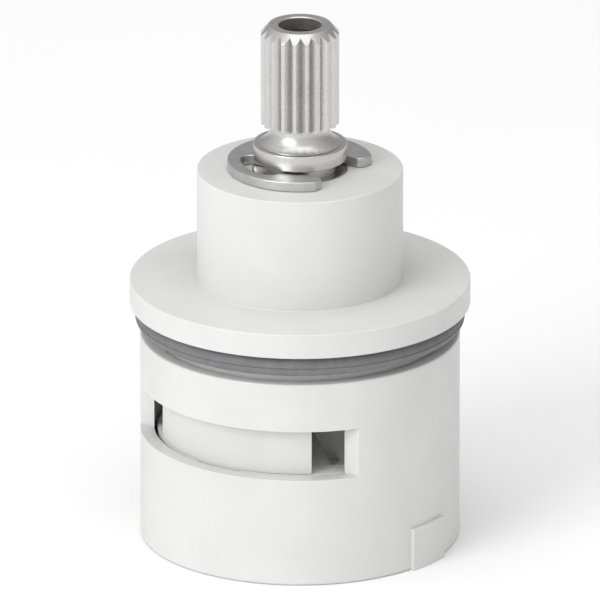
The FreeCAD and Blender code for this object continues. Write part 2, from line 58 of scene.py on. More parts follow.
# Sizes read from the frame
BODY_RADIUS = span("outer_sleeve", Y)[1]
SLEEVE_TOP = span("outer_sleeve", Z)[1]
FLANGE_RADIUS = span("bonnet", X)[1]
BONNET_BOTTOM, HUB_TOP = span("bonnet", Z)
STEM_BOTTOM, STEM_TOP = span("stem", Z)
MOVING_TOP = span("moving_disc", Z)[1]
CLIP_BOTTOM, CLIP_TOP = span("retaining_clip", Z)
CLIP_RADIUS = span("retaining_clip", Y)[1]
RING_BOTTOM, RING_TOP = span("flange_o_ring", Z)
RING_RADIUS = span("flange_o_ring", X)[1]

# Sleeve: sizes in millimetres that the boxes don't give, as in the part's own drawing
SLEEVE_WALL = 1.4
LIP_HEIGHT, LIP_WIDTH = 1.2, 1.3
WINDOW_TOP, WINDOW_CUT = 16.34, 8.85
TAB_RADIUS, TAB_WIDTH, TAB_HEIGHT, TAB_TURN = 16.4, 5.07, 4.37, -2.15
KEY_WIDTH, KEY_DEPTH = 2.4, 0.5
LIP_ROUNDING, FOOT_ROUNDING, RIM_ROUNDING, MOUTH_ROUNDING = 0.15, 0.25, 0.18, 0.25

# Bonnet, and the bead that holds it in the sleeve
SPIGOT_RADIUS = 14.55
HUB_RADIUS = 10.3
FLANGE_LEVEL, FLANGE_TOP = 24.46, 27.0
SHAFT_RADIUS, SHAFT_GAP = 4.66, 0.05
CARRIER_BORE, STEM_BORE, STOP_ROOF, BONNET_STEP = 7.2, 6.45, 22.07, 34.14
BEAD_LEVEL, BEAD_HALF, BEAD_DEPTH = 20.23, 0.45, 0.2
RECESS_INNER, RECESS_OUTER, RECESS_HALF_ANGLE = 7.0, 9.6, 58.0
SPIGOT_ROUNDING, GROOVE_ROUNDING, FLANGE_ROUNDING = 0.3, 0.1, 0.12
HUB_ROUNDING, BORE_ROUNDING = 0.14, 0.1

# Flange ring: the reach of its seam is in degrees of the section
SEAM_DEPTH, SEAM_WIDTH, SEAM_REACH = 0.1, 0.07, 12.0

# Stem: foot, grooves, collar and neck
STEM_LEVEL, SHOULDER_LEVEL, STEM_RADIUS = 22.05, 33.5, 6.4
FOOT_RADIUS, FOOT_FLAT = 5.0, 2.5
STEM_RING_LEVELS, STEM_GROOVE_ROOT, STEM_GROOVE_HALF = (27.1, 30.9), 4.9, 0.95
CLIP_GROOVE_RADIUS, COLLAR_LEVEL, COLLAR_TOP = 3.55, 39.71, 41.32
COLLAR_RADIUS, NECK_RADIUS = 4.68, 2.97
FLARE_RADIUS, FLARE_FOOT, FLARE_STEP = 1.9, 4.13, 0.06
STEM_END_ROUNDING, STEM_GROOVE_ROUNDING, SHOULDER_ROUNDING = 0.2, 0.1, 0.15
SHAFT_ROUNDING, CLIP_GROOVE_ROUNDING = 0.06, 0.08
COLLAR_FOOT_ROUNDING, COLLAR_ROUNDING = 0.1, 0.12
NECK_OVERLAP, FOOT_OVERLAP = 0.3, 0.2

# Splined end of the stem and the thread in its bore
SPLINE_TEETH, SPLINE_CREST, SPLINE_ROOT, SPLINE_LAND = 20, 3.93, 3.40, 2.4
SPLINE_LEVEL, SPLINE_OVERSHOOT = 43.4, 1.35
SPLINE_CHAMFER_WIDTH, SPLINE_CHAMFER_HEIGHT = 0.8, 0.9
SPLINE_FOOT_ROUNDING, SPLINE_ROUNDING, SPLINE_END_ROUNDING = 0.08, 0.1, 0.06
THREAD_BORE, THREAD_MAJOR, THREAD_PITCH, THREAD_DEPTH = 2.15, 2.47, 0.8, 10.0
THREAD_LEAD_IN, BORE_CHAMFER, DRILL_HALF_ANGLE = 0.9, 0.1, 59
THREAD_OVERLAP, THREAD_FOOT_HALF, THREAD_TIP_HALF = 0.15, 0.38, 0.06

# Retaining clip
CLIP_BORE, CLIP_CUT_RADIUS, CLIP_CUT_FRONT = 3.57, 5.95, 1.0
CLIP_MOUTH, CLIP_FRONT, CLIP_BACK_LUG = 3.3, 5.3, 1.875
CLIP_FRONT_FILLET, CLIP_BACK_FILLET, CLIP_TIP_FILLET = 1.5, 1.0, 0.8

# Fineness of the meshes, and how far a cutting tool reaches past what it cuts
ROUND_STEPS, CORNER_STEPS, FILLET_STEPS = 240, 4, 8
TAB_STEPS, RECESS_INNER_STEPS, RECESS_OUTER_STEPS = 12, 24, 32
RING_SECTION_STEPS, SEAM_STEPS = 72, 16
FLARE_POINTS, THREAD_STEPS_PER_TURN = 13, 48
CLIP_CUT_STEPS, CLIP_LUG_STEPS, CLIP_OUTSIDE_STEPS = 32, 2, 90
FLOOR_STEPS = 1440
MERGE_DISTANCE, NODE_MERGE_DISTANCE = 1e-5, 1e-3
OVERCUT = 1

# Softened edges: their widths in millimetres, and the angle from which an edge counts
SLEEVE_EDGE, CLIP_EDGE, STEM_EDGE, NODE_EDGE, SLIP_EDGE = 0.1, 0.08, 0.03, 0.06, 0.04
EDGE_SEGMENTS, EDGE_ANGLE = 2, math.radians(34)

# Materials: ranges that masks are read from, samples, and sockets without names of their own
WEAR_SAMPLES, WEAR_RANGE = 4, (0.98, 0.75)
# Painted shade in corners and gaps: ambient occlusion samples, and the range read from open to
# fully shaded
PAINTED_SHADE_SAMPLES, PAINTED_SHADE_RANGE = 6, (0.85, 0.25)
ROUGHNESS_RANGE = (0.3, 0.7)
MIX_FIRST, MIX_SECOND, MIX_RESULT = 6, 7, 2
ROLLING_STRETCH = (14.0, 0.6, 3.0)
PLASTIC_SPECULAR = 0.45
FLOOR_ROUGHNESS, FLOOR_SPECULAR = 0.9, 0.1

# Camera: angles in degrees, distances and the frame at the part in metres, sensor in millimetres
CAMERA_AZIMUTH, CAMERA_ELEVATION = 35.0, 20.1
CAMERA_DISTANCE, CAMERA_SENSOR, CAMERA_REACH = 2.333, 36.0, 100
FRAME_WIDTH, FRAME_CENTRE = 0.060, 0.02451

# Studio: pale floor, two soft lights, and a surround that is bright ahead and dim behind
FLOOR_RADIUS, FLOOR_TUCK = 3.0, 0.22
KEY_LIGHT = {
    "azimuth": CAMERA_AZIMUTH - 42, "elevation": 30, "distance": 0.8, "width": 0.4, "power": 2.6,
}
TOP_LIGHT = {
    "azimuth": CAMERA_AZIMUTH, "elevation": 82, "distance": 0.9, "width": 0.9, "power": 2.4,
}
SURROUND_DIM, SURROUND_BRIGHT, SURROUND_BELOW = 0.4, 0.8, 0.7
SURROUND_AZIMUTH, SURROUND_ELEVATION = CAMERA_AZIMUTH - 30, 40
SURROUND_FADE, SURROUND_SINK = (-0.5, 0.7), (0, -0.4)


def rounded(corners):
    """Give each (radius, height, rounding) corner its arc."""
    points = []
    count = len(corners)
    for index, corner in enumerate(corners):
        here = Vector(corner[:2])
        reach = corner[2] if len(corner) > 2 else 0
        if not reach:
            points.append(here)
            continue
        before = (Vector(corners[index - 1][:2]) - here).normalized()
        after = (Vector(corners[(index + 1) % count][:2]) - here).normalized()
        half = before.angle(after) / 2
        centre = here + (before + after).normalized() * (reach / math.sin(half))
        start = here + before * (reach / math.tan(half))
        finish = here + after * (reach / math.tan(half))
        first = start - centre
        swing = first.angle_signed(finish - centre)
        for step in range(CORNER_STEPS + 1):
            turn = Matrix.Rotation(-swing * step / CORNER_STEPS, 2)
            points.append(centre + turn @ first)
    return points


def new_object(name, data):
    """Make an object of a mesh, a light or a camera and put it in the scene."""
    item = bpy.data.objects.new(name, data)
    bpy.context.scene.collection.objects.link(item)
    return item


def from_bmesh(name, work):
    """Clean a mesh under construction and make it an object."""
    bmesh.ops.remove_doubles(work, verts=work.verts, dist=MERGE_DISTANCE)
    bmesh.ops.recalc_face_normals(work, faces=work.faces)
    mesh = bpy.data.meshes.new(name)
    work.to_mesh(mesh)
    work.free()
    return new_object(name, mesh)


def join_sections(work, first, second):
    """Close the side between two equal loops of vertices."""
    count = len(first)
    for index in range(count):
        after = (index + 1) % count
        work.faces.new((first[index], second[index], second[after], first[after]))


def lathe(name, corners):
    """Turn a closed (radius, height, rounding) profile about the stem axis."""
    profile = rounded(corners)
    work = bmesh.new()
    rings = []
    for step in range(ROUND_STEPS):
        angle = FULL_TURN * step / ROUND_STEPS
        across, along = math.cos(angle), math.sin(angle)
        rings.append([work.verts.new((p[0] * across, p[0] * along, p[1])) for p in profile])
    for step in range(ROUND_STEPS):
        join_sections(work, rings[step], rings[(step + 1) % ROUND_STEPS])
    bmesh.ops.remove_doubles(work, verts=work.verts, dist=MERGE_DISTANCE)
    bmesh.ops.dissolve_degenerate(work, edges=work.edges, dist=MERGE_DISTANCE)
    return from_bmesh(name, work)


def prism(name, outline, bottom, top):
    """Raise a closed (x, y) outline between two heights."""
    work = bmesh.new()
    lower = [work.verts.new((x, y, bottom)) for x, y in outline]
    upper = [work.verts.new((x, y, top)) for x, y in outline]
    work.faces.new(lower)
    work.faces.new(upper)
    count = len(outline)
    for index in range(count):
        after = (index + 1) % count
        work.faces.new((lower[index], lower[after], upper[after], upper[index]))
    return from_bmesh(name, work)


def box(name, left, right, front, back, bottom, top):
    """A block between two values on each axis."""
    return prism(name, [(left, front), (right, front), (right, back), (left, back)], bottom, top)


def turned(outline, degrees):
    """An outline turned about the axis."""
    turn = Matrix.Rotation(math.radians(degrees), 2)
    return [tuple(turn @ Vector(point)) for point in outline]


def arc(radius, first, last, steps):
    """Points on a circle about the axis, from one angle to another in degrees."""
    angles = np.radians(np.linspace(first, last, steps + 1))
    return [(radius * math.cos(a), radius * math.sin(a)) for a in angles]


def arc_between(centre, start, finish, steps=FILLET_STEPS):
    """The minor arc about a centre from one point to another, in millimetres."""
    centre = Vector(centre)
    first = Vector(start) - centre
    swing = first.angle_signed(Vector(finish) - centre)
    turns = [Matrix.Rotation(-swing * step / steps, 2) for step in range(steps + 1)]
    return [tuple(centre + turn @ first) for turn in turns]


def on_circle(radius, x=None, y=None):
    """The point with the given x, or the given y and a positive x, on a circle about the axis."""
    if x is None:
        return math.sqrt(radius * radius - y * y), y
    return x, math.sqrt(radius * radius - x * x)


def combine(target, tool, operation="DIFFERENCE"):
    """Cut, join or intersect two closed shapes, and drop the tool."""
    change = target.modifiers.new("combine", "BOOLEAN")
    change.object = tool
    change.operation = operation
    change.solver = "EXACT"
    graph = bpy.context.evaluated_depsgraph_get()
    mesh = bpy.data.meshes.new_from_object(target.evaluated_get(graph))
    old = target.data
    target.modifiers.clear()
    target.data = mesh
    bpy.data.meshes.remove(old)
    bpy.data.objects.remove(tool)


def finish_piece(item, body, node, material, edge=0):
    """Scale to metres, soften the sharp edges, and give the piece its place in the frame."""
    item.data.transform(Matrix.Scale(MM, 4))
    dress(item, material, edge)
    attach(item, body)
    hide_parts(node)


def dress(item, material, edge):
    """Soft edges, smooth shading and material, on a new piece or a CAD node."""
    if edge:
        soften = item.modifiers.new("soft_edges", "BEVEL")
        soften.width = edge * MM
        soften.segments = EDGE_SEGMENTS
        soften.limit_method = "ANGLE"
        soften.angle_limit = EDGE_ANGLE
        soften.use_clamp_overlap = True
    item.data.polygons.foreach_set("use_smooth", [True] * len(item.data.polygons))
    item.data.set_sharp_from_angle(angle=EDGE_ANGLE)
    normals = item.modifiers.new("even_normals", "WEIGHTED_NORMAL")
    normals.keep_sharp = True
    item.data.materials.clear()
    item.data.materials.append(material)


def dress_nodes(names, material, edge=NODE_EDGE):
    """Give CAD nodes that keep their own shape a welded, softened surface."""
    for name in names:
        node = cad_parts[name]
        weld = node.modifiers.new("weld", "WELD")
        weld.merge_threshold = NODE_MERGE_DISTANCE * MM
        dress(node, material, edge)


def bead(radius, half, depth):
    """Profile corners of the snap bead or its groove, from the top down."""
    return [
        (radius, BEAD_LEVEL + half), (radius + depth, BEAD_LEVEL + half - depth),
        (radius + depth, BEAD_LEVEL - half + depth), (radius, BEAD_LEVEL - half),
    ]


def make_sleeve(material):
    """Outer sleeve: turned shell, side window, keyway at the back and locating tab."""
    bore = BODY_RADIUS - SLEEVE_WALL
    lip = bore - LIP_WIDTH
    shell = lathe("outer_sleeve_shell", [
        (lip, 0, LIP_ROUNDING), (BODY_RADIUS, 0, FOOT_ROUNDING),
        (BODY_RADIUS, SLEEVE_TOP, RIM_ROUNDING), (bore, SLEEVE_TOP, MOUTH_ROUNDING),
        *bead(bore, BEAD_HALF + SHAFT_GAP, BEAD_DEPTH + SHAFT_GAP),
        (bore, LIP_HEIGHT), (lip, LIP_HEIGHT, LIP_ROUNDING),
    ])
    reach = BODY_RADIUS + OVERCUT
    combine(shell, box("window", -reach, reach, -reach, -WINDOW_CUT, MOVING_TOP, WINDOW_TOP))
    half = KEY_WIDTH / 2
    keyway = box("keyway", -half, half, bore - OVERCUT, bore + KEY_DEPTH, LIP_HEIGHT,
                 SLEEVE_TOP + OVERCUT)
    combine(shell, keyway)
    half = TAB_WIDTH / 2
    swing = math.degrees(math.asin(half / TAB_RADIUS))
    inner = BODY_RADIUS - SLEEVE_WALL / 2
    outline = [(inner, -half), *arc(TAB_RADIUS, -swing, swing, TAB_STEPS), (inner, half)]
    combine(shell, prism("tab", turned(outline, TAB_TURN), 0, TAB_HEIGHT), "UNION")
    finish_piece(shell, "housing", "outer_sleeve", material, SLEEVE_EDGE)


def make_bonnet(material):
    """Bonnet: hub, flange and spigot with the stepped bore of the stem."""
    shaft_bore = SHAFT_RADIUS + SHAFT_GAP
    body = lathe("bonnet_body", [
        (CARRIER_BORE, BONNET_BOTTOM), (SPIGOT_RADIUS, BONNET_BOTTOM, SPIGOT_ROUNDING),
        *reversed(bead(SPIGOT_RADIUS, BEAD_HALF, BEAD_DEPTH)),
        (SPIGOT_RADIUS, FLANGE_LEVEL, GROOVE_ROUNDING),
        (FLANGE_RADIUS, FLANGE_LEVEL, FLANGE_ROUNDING),
        (FLANGE_RADIUS, FLANGE_TOP, FLANGE_ROUNDING), (HUB_RADIUS, FLANGE_TOP, FLANGE_ROUNDING),
        (HUB_RADIUS, HUB_TOP, HUB_ROUNDING), (shaft_bore, HUB_TOP, BORE_ROUNDING),
        (shaft_bore, BONNET_STEP), (STEM_BORE, BONNET_STEP),
        (STEM_BORE, STOP_ROOF), (CARRIER_BORE, STOP_ROOF),
    ])
    half = KEY_WIDTH / 2 - SHAFT_GAP
    back = BODY_RADIUS - SLEEVE_WALL + KEY_DEPTH - SHAFT_GAP
    rib = box("rib", -half, half, SPIGOT_RADIUS - OVERCUT, back, BONNET_BOTTOM,
              SLEEVE_TOP - SHAFT_GAP)
    combine(body, rib, "UNION")
    sector = arc(RECESS_INNER, RECESS_HALF_ANGLE, -RECESS_HALF_ANGLE, RECESS_INNER_STEPS)
    sector += arc(RECESS_OUTER, -RECESS_HALF_ANGLE, RECESS_HALF_ANGLE, RECESS_OUTER_STEPS)
    combine(body, prism("recess", sector, BONNET_BOTTOM - OVERCUT, STOP_ROOF))
    finish_piece(body, "housing", "bonnet", material)


def make_flange_ring(material):
    """Flange ring: round section with the fine seam of a moulded ring on its outside."""
    section = (RING_TOP - RING_BOTTOM) / 2
    middle = RING_RADIUS - section
    level = RING_BOTTOM + section
    seam = np.linspace(-SEAM_REACH, SEAM_REACH, SEAM_STEPS, endpoint=False)
    rest = np.linspace(SEAM_REACH, 360 - SEAM_REACH, RING_SECTION_STEPS, endpoint=False)
    corners = []
    for angle in np.radians([*seam, *rest]):
        groove = SEAM_DEPTH * math.exp(-((math.sin(angle) / SEAM_WIDTH) ** 2))
        reach = section - groove * (math.cos(angle) > 0)
        corners.append((middle + reach * math.cos(angle), level + reach * math.sin(angle)))
    ring = lathe("flange_ring", corners)
    finish_piece(ring, "housing", "flange_o_ring", material)


def make_clip(material):
    """Retaining clip: stamped E-clip, whose outline is drawn for one side and mirrored."""
    axis = (0, 0)
    behind = -on_circle(CLIP_BORE, y=CLIP_BACK_LUG)[0]
    back_side = CLIP_BACK_LUG + CLIP_BACK_FILLET
    back = Vector((-on_circle(CLIP_CUT_RADIUS - CLIP_BACK_FILLET, y=back_side)[0], back_side))
    front_reach = CLIP_CUT_RADIUS - CLIP_FRONT_FILLET
    front = Vector(on_circle(front_reach, x=CLIP_CUT_FRONT - CLIP_FRONT_FILLET))
    back_touch = back.normalized() * CLIP_CUT_RADIUS
    front_touch = front.normalized() * CLIP_CUT_RADIUS
    lug = on_circle(CLIP_BORE, x=CLIP_CUT_FRONT)
    mouth = on_circle(CLIP_BORE, y=CLIP_MOUTH)
    tip = (CLIP_FRONT - CLIP_TIP_FILLET, CLIP_MOUTH + CLIP_TIP_FILLET)
    outer = on_circle(CLIP_RADIUS, x=CLIP_FRONT)
    side = [
        *arc_between(axis, (-CLIP_BORE, 0), (behind, CLIP_BACK_LUG)),
        *arc_between(back, (back.x, CLIP_BACK_LUG), back_touch),
        *arc_between(axis, back_touch, front_touch, CLIP_CUT_STEPS)[1:],
        *arc_between(front, front_touch, (CLIP_CUT_FRONT, front.y))[1:],
        *arc_between(axis, lug, mouth, CLIP_LUG_STEPS),
        *arc_between(tip, (tip[0], CLIP_MOUTH), (CLIP_FRONT, tip[1])),
        *arc_between(axis, outer, (-CLIP_RADIUS, 0), CLIP_OUTSIDE_STEPS),
    ]
    mirrored = [(x, -y) for x, y in reversed(side[1:-1])]
    clip = prism("retaining_clip_sheet", side + mirrored, CLIP_BOTTOM, CLIP_TOP)
    finish_piece(clip, "spindle", "retaining_clip", material, CLIP_EDGE)


def tooth_outline():
    """Star outline of the splined end, drawn past its crests, with a root on the X axis."""
    pitch = 360 / SPLINE_TEETH
    edge = math.radians(pitch / 2 - SPLINE_LAND)
    slope = Vector((SPLINE_CREST * math.cos(edge) - SPLINE_ROOT, SPLINE_CREST * math.sin(edge)))
    outside = Vector((SPLINE_ROOT, 0)) + slope * SPLINE_OVERSHOOT
    outline = []
    for tooth in range(SPLINE_TEETH):
        corners = [(outside.x, -outside.y), (SPLINE_ROOT, 0), (outside.x, outside.y)]
        outline += turned(corners, pitch * tooth)
    return outline


def make_splines():
    """Splined end of the stem: the star, cut to its crests and its chamfered end."""
    teeth = prism("splines", tooth_outline(), SPLINE_LEVEL - OVERCUT, STEM_TOP + OVERCUT)
    envelope = lathe("envelope", [
        (0, SPLINE_LEVEL), (SPLINE_CREST, SPLINE_LEVEL, SPLINE_FOOT_ROUNDING),
        (SPLINE_CREST, STEM_TOP - SPLINE_CHAMFER_HEIGHT, SPLINE_ROUNDING),
        (SPLINE_CREST - SPLINE_CHAMFER_WIDTH, STEM_TOP, SPLINE_END_ROUNDING), (0, STEM_TOP),
    ])
    combine(teeth, envelope, "INTERSECT")
    return teeth


def make_foot():
    """Foot of the stem: a pin with two flats that drive the carrier."""
    foot = lathe("foot", [
        (0, STEM_BOTTOM), (FOOT_RADIUS, STEM_BOTTOM, STEM_END_ROUNDING),
        (FOOT_RADIUS, STEM_LEVEL + FOOT_OVERLAP), (0, STEM_LEVEL + FOOT_OVERLAP),
    ])
    reach = FOOT_RADIUS + OVERCUT
    combine(foot, box("flats", -reach, reach, -FOOT_FLAT, FOOT_FLAT, 0, STEM_TOP), "INTERSECT")
    return foot


def make_drill():
    """Drill that cuts the bore of the stem, with a countersink at its mouth."""
    point = THREAD_BORE / math.tan(math.radians(DRILL_HALF_ANGLE))
    return lathe("drill", [
        (0, STEM_TOP - THREAD_DEPTH - point), (THREAD_BORE, STEM_TOP - THREAD_DEPTH),
        (THREAD_BORE, STEM_TOP - BORE_CHAMFER),
        (THREAD_BORE + 2 * BORE_CHAMFER, STEM_TOP + BORE_CHAMFER), (0, STEM_TOP + BORE_CHAMFER),
    ])


def make_thread_tool():
    """Wedge wound on a helix, which cuts the thread into the bore of the stem."""
    inside = THREAD_BORE - THREAD_OVERLAP
    wedge = [
        (inside, -THREAD_FOOT_HALF), (THREAD_MAJOR, -THREAD_TIP_HALF),
        (THREAD_MAJOR, THREAD_TIP_HALF), (inside, THREAD_FOOT_HALF),
    ]
    count = int((THREAD_DEPTH - THREAD_LEAD_IN) / THREAD_PITCH * THREAD_STEPS_PER_TURN)
    work = bmesh.new()
    sections = []
    for step in range(count):
        angle = FULL_TURN * step / THREAD_STEPS_PER_TURN
        level = STEM_TOP - THREAD_LEAD_IN - THREAD_PITCH * step / THREAD_STEPS_PER_TURN
        place = [(r * math.cos(angle), -r * math.sin(angle), level + rise) for r, rise in wedge]
        sections.append([work.verts.new(point) for point in place])
    for first, second in zip(sections, sections[1:]):
        join_sections(work, first, second)
    work.faces.new(sections[0])
    work.faces.new(sections[-1])
    return from_bmesh("thread_tool", work)


def ring_groove(level):
    """Profile corners of one O-ring groove in the stem, from the bottom up."""
    low, high = level - STEM_GROOVE_HALF, level + STEM_GROOVE_HALF
    return [
        (STEM_RADIUS, low, STEM_GROOVE_ROUNDING), (STEM_GROOVE_ROOT, low),
        (STEM_GROOVE_ROOT, high), (STEM_RADIUS, high, STEM_GROOVE_ROUNDING),
    ]


def neck_flare():
    """Profile points of the hollow arc from the collar up to the neck."""
    sweep = math.acos(1 - (FLARE_FOOT - NECK_RADIUS) / FLARE_RADIUS)
    top = COLLAR_TOP + FLARE_STEP + FLARE_RADIUS * math.sin(sweep)
    return [
        (NECK_RADIUS + FLARE_RADIUS * (1 - math.cos(a)), top - FLARE_RADIUS * math.sin(a))
        for a in np.linspace(sweep, 0, FLARE_POINTS)
    ]


def make_stem(material):
    """Stem: drive foot, seal grooves, shaft, clip groove, collar, neck, splines and thread."""
    lower_ring, upper_ring = STEM_RING_LEVELS
    stem = lathe("splined_stem", [
        (0, STEM_LEVEL), (STEM_RADIUS, STEM_LEVEL, STEM_END_ROUNDING),
        *ring_groove(lower_ring), *ring_groove(upper_ring),
        (STEM_RADIUS, SHOULDER_LEVEL, SHOULDER_ROUNDING), (SHAFT_RADIUS, SHOULDER_LEVEL),
        (SHAFT_RADIUS, HUB_TOP, SHAFT_ROUNDING),
        (CLIP_GROOVE_RADIUS, HUB_TOP, CLIP_GROOVE_ROUNDING),
        (CLIP_GROOVE_RADIUS, COLLAR_LEVEL, CLIP_GROOVE_ROUNDING),
        (COLLAR_RADIUS, COLLAR_LEVEL, COLLAR_FOOT_ROUNDING),
        (COLLAR_RADIUS, COLLAR_TOP, COLLAR_ROUNDING), (FLARE_FOOT, COLLAR_TOP), *neck_flare(),
        (NECK_RADIUS, SPLINE_LEVEL + NECK_OVERLAP), (0, SPLINE_LEVEL + NECK_OVERLAP),
    ])
    combine(stem, make_splines(), "UNION")
    combine(stem, make_foot(), "UNION")
    combine(stem, make_drill())
    combine(stem, make_thread_tool())
    finish_piece(stem, "spindle", "stem", material, STEM_EDGE)


class Finish:
    """A procedural material, with noise measured in millimetres on the object."""

    def __init__(self, name, colour, metallic=0.0):
        self.material = bpy.data.materials.new(name)
        self.material.use_nodes = True
        self.tree = self.material.node_tree
        self.shader = self.tree.nodes["Principled BSDF"]
        self.shader.inputs["Metallic"].default_value = metallic
        self.colour = colour
        where = self.add("ShaderNodeTexCoord")
        scale = self.add("ShaderNodeVectorMath", operation="SCALE")
        scale.inputs["Scale"].default_value = 1 / MM
        self.join(where.outputs["Object"], scale.inputs[0])
        self.place = scale.outputs[0]
        self.tinted = None
        self.bump = None

    def add(self, kind, **settings):
        node = self.tree.nodes.new(kind)
        for key, value in settings.items():
            setattr(node, key, value)
        return node

    def join(self, source, target):
        self.tree.links.new(source, target)

    def noise(self, scale, detail, place=None, distortion=0.0):
        node = self.add("ShaderNodeTexNoise")
        node.inputs["Scale"].default_value = scale
        node.inputs["Detail"].default_value = detail
        node.inputs["Distortion"].default_value = distortion
        self.join(place or self.place, node.inputs["Vector"])
        return node.outputs["Fac"]

    def spread(self, source, low, high, out_low=0.0, out_high=1.0):
        """Map one range of values to another."""
        node = self.add("ShaderNodeMapRange")
        values = {"From Min": low, "From Max": high, "To Min": out_low, "To Max": out_high}
        for key, value in values.items():
            node.inputs[key].default_value = value
        self.join(source, node.inputs["Value"])
        return node.outputs["Result"]

    def arithmetic(self, operation, first, second):
        node = self.add("ShaderNodeMath", operation=operation)
        for index, item in enumerate((first, second)):
            if isinstance(item, (int, float)):
                node.inputs[index].default_value = item
            else:
                self.join(item, node.inputs[index])
        return node.outputs[0]

    def turned_place(self):
        """Coordinates that vary along the radius and the height only, for lathe marks."""
        parts = self.add("ShaderNodeSeparateXYZ")
        self.join(self.place, parts.inputs[0])
        square_x = self.arithmetic("MULTIPLY", parts.outputs[X], parts.outputs[X])
        square_y = self.arithmetic("MULTIPLY", parts.outputs[Y], parts.outputs[Y])
        total = self.arithmetic("ADD", square_x, square_y)
        radius = self.arithmetic("SQRT", total, 0.0)
        joined = self.add("ShaderNodeCombineXYZ")
        self.join(radius, joined.inputs[X])
        self.join(parts.outputs[Z], joined.inputs[Z])
        return joined.outputs[0]

    def edge_wear(self, radius):
        """0 on open faces, rising to 1 on outer edges."""
        bevel = self.add("ShaderNodeBevel", samples=WEAR_SAMPLES)
        bevel.inputs["Radius"].default_value = radius * MM
        facing = self.add("ShaderNodeNewGeometry")
        compare = self.add("ShaderNodeVectorMath", operation="DOT_PRODUCT")
        self.join(bevel.outputs[0], compare.inputs[0])
        self.join(facing.outputs["Normal"], compare.inputs[1])
        return self.spread(compare.outputs["Value"], *WEAR_RANGE)

    def painted_crease_shade(self, reach):
        """Painted shade mask from ambient occlusion: 1 in corners and gaps closer than a reach in
        millimetres, 0 in the open.
        """
        hidden = self.add("ShaderNodeAmbientOcclusion", samples=PAINTED_SHADE_SAMPLES)
        hidden.inputs["Distance"].default_value = reach * MM
        return self.spread(hidden.outputs["AO"], *PAINTED_SHADE_RANGE)

    def tint(self, mask, shade, strength):
        """Move the base colour towards a shade of itself where the mask is high."""
        mix = self.add("ShaderNodeMix", data_type="RGBA")
        self.join(self.arithmetic("MULTIPLY", mask, strength), mix.inputs["Factor"])
        if self.tinted is None:
            mix.inputs[MIX_FIRST].default_value = (*self.colour, 1)
        else:
            self.join(self.tinted, mix.inputs[MIX_FIRST])
        shaded = [min(1.0, channel * shade) for channel in self.colour]
        mix.inputs[MIX_SECOND].default_value = (*shaded, 1)
        self.tinted = mix.outputs[MIX_RESULT]
        self.join(self.tinted, self.shader.inputs["Base Color"])

    def rough(self, source, low, high):
        roughness = self.spread(source, *ROUGHNESS_RANGE, low, high)
        self.join(roughness, self.shader.inputs["Roughness"])

    def relief(self, source, depth, strength):
        """Add a bump of a depth in millimetres."""
        node = self.add("ShaderNodeBump")
        node.inputs["Distance"].default_value = depth * MM
        node.inputs["Strength"].default_value = strength
        self.join(source, node.inputs["Height"])
        if self.bump is not None:
            self.join(self.bump, node.inputs["Normal"])
        self.bump = node.outputs["Normal"]
        self.join(self.bump, self.shader.inputs["Normal"])


def moulded_plastic(name, colour, roughness, grain=0.006):
    """Injection moulded plastic: spark-eroded grain, soft flow marks, edges rubbed smoother, and
    painted shade in corners and gaps.
    """
    finish = Finish(name, colour)
    flow = finish.noise(scale=0.12, detail=4.0, distortion=0.6)
    speck = finish.noise(scale=9.0, detail=2.0)
    finish.tint(finish.spread(flow, low=0.35, high=0.65), shade=0.95, strength=1.0)
    finish.tint(finish.spread(speck, low=0.55, high=0.8), shade=0.9, strength=0.6)
    # Painted shade: colour darkened in corners and gaps where ambient occlusion finds them
    finish.tint(finish.painted_crease_shade(reach=0.4), shade=0.7, strength=0.7)
    finish.tint(finish.edge_wear(radius=0.25), shade=1.06, strength=0.6)
    finish.rough(finish.noise(scale=1.3, detail=4.0), low=roughness - 0.07, high=roughness + 0.08)
    finish.relief(finish.noise(scale=0.35, detail=2.0), depth=0.02, strength=0.5)
    finish.relief(finish.noise(scale=11.0, detail=3.0), depth=grain, strength=0.6)
    finish.shader.inputs["Specular IOR Level"].default_value = PLASTIC_SPECULAR
    return finish.material


def turned_metal(name, colour, roughness):
    """Plated metal: lathe marks round the axis, cloudy plating, brighter worn edges, and painted
    shade in grooves, tooth valleys and under the splines.
    """
    finish = Finish(name, colour, metallic=1.0)
    marks = finish.noise(scale=7.0, detail=5.0, place=finish.turned_place())
    cloud = finish.noise(scale=0.5, detail=4.0)
    finish.tint(finish.spread(cloud, low=0.35, high=0.7), shade=0.9, strength=0.8)
    finish.tint(finish.spread(marks, low=0.4, high=0.7), shade=0.88, strength=0.5)
    # Painted shade: colour darkened in grooves, tooth valleys and under the splines
    finish.tint(finish.painted_crease_shade(reach=0.6), shade=0.4, strength=0.8)
    finish.tint(finish.edge_wear(radius=0.12), shade=1.12, strength=0.8)
    finish.rough(marks, low=roughness - 0.07, high=roughness + 0.1)
    finish.relief(marks, depth=0.006, strength=0.7)
    return finish.material


def stamped_steel(name, colour, roughness):
    """Spring steel sheet: straight rolling marks, tumbled edges."""
    finish = Finish(name, colour, metallic=1.0)
    stretch = finish.add("ShaderNodeMapping")
    stretch.inputs["Scale"].default_value = ROLLING_STRETCH
    finish.join(finish.place, stretch.inputs[0])
    marks = finish.noise(scale=1.0, detail=5.0, place=stretch.outputs[0])
    cloud = finish.noise(scale=0.7, detail=4.0)
    finish.tint(finish.spread(cloud, low=0.35, high=0.7), shade=0.82, strength=0.8)
    finish.tint(finish.edge_wear(radius=0.12), shade=1.2, strength=0.8)
    finish.rough(marks, low=roughness - 0.06, high=roughness + 0.12)
    finish.relief(marks, depth=0.004, strength=0.6)
    return finish.material


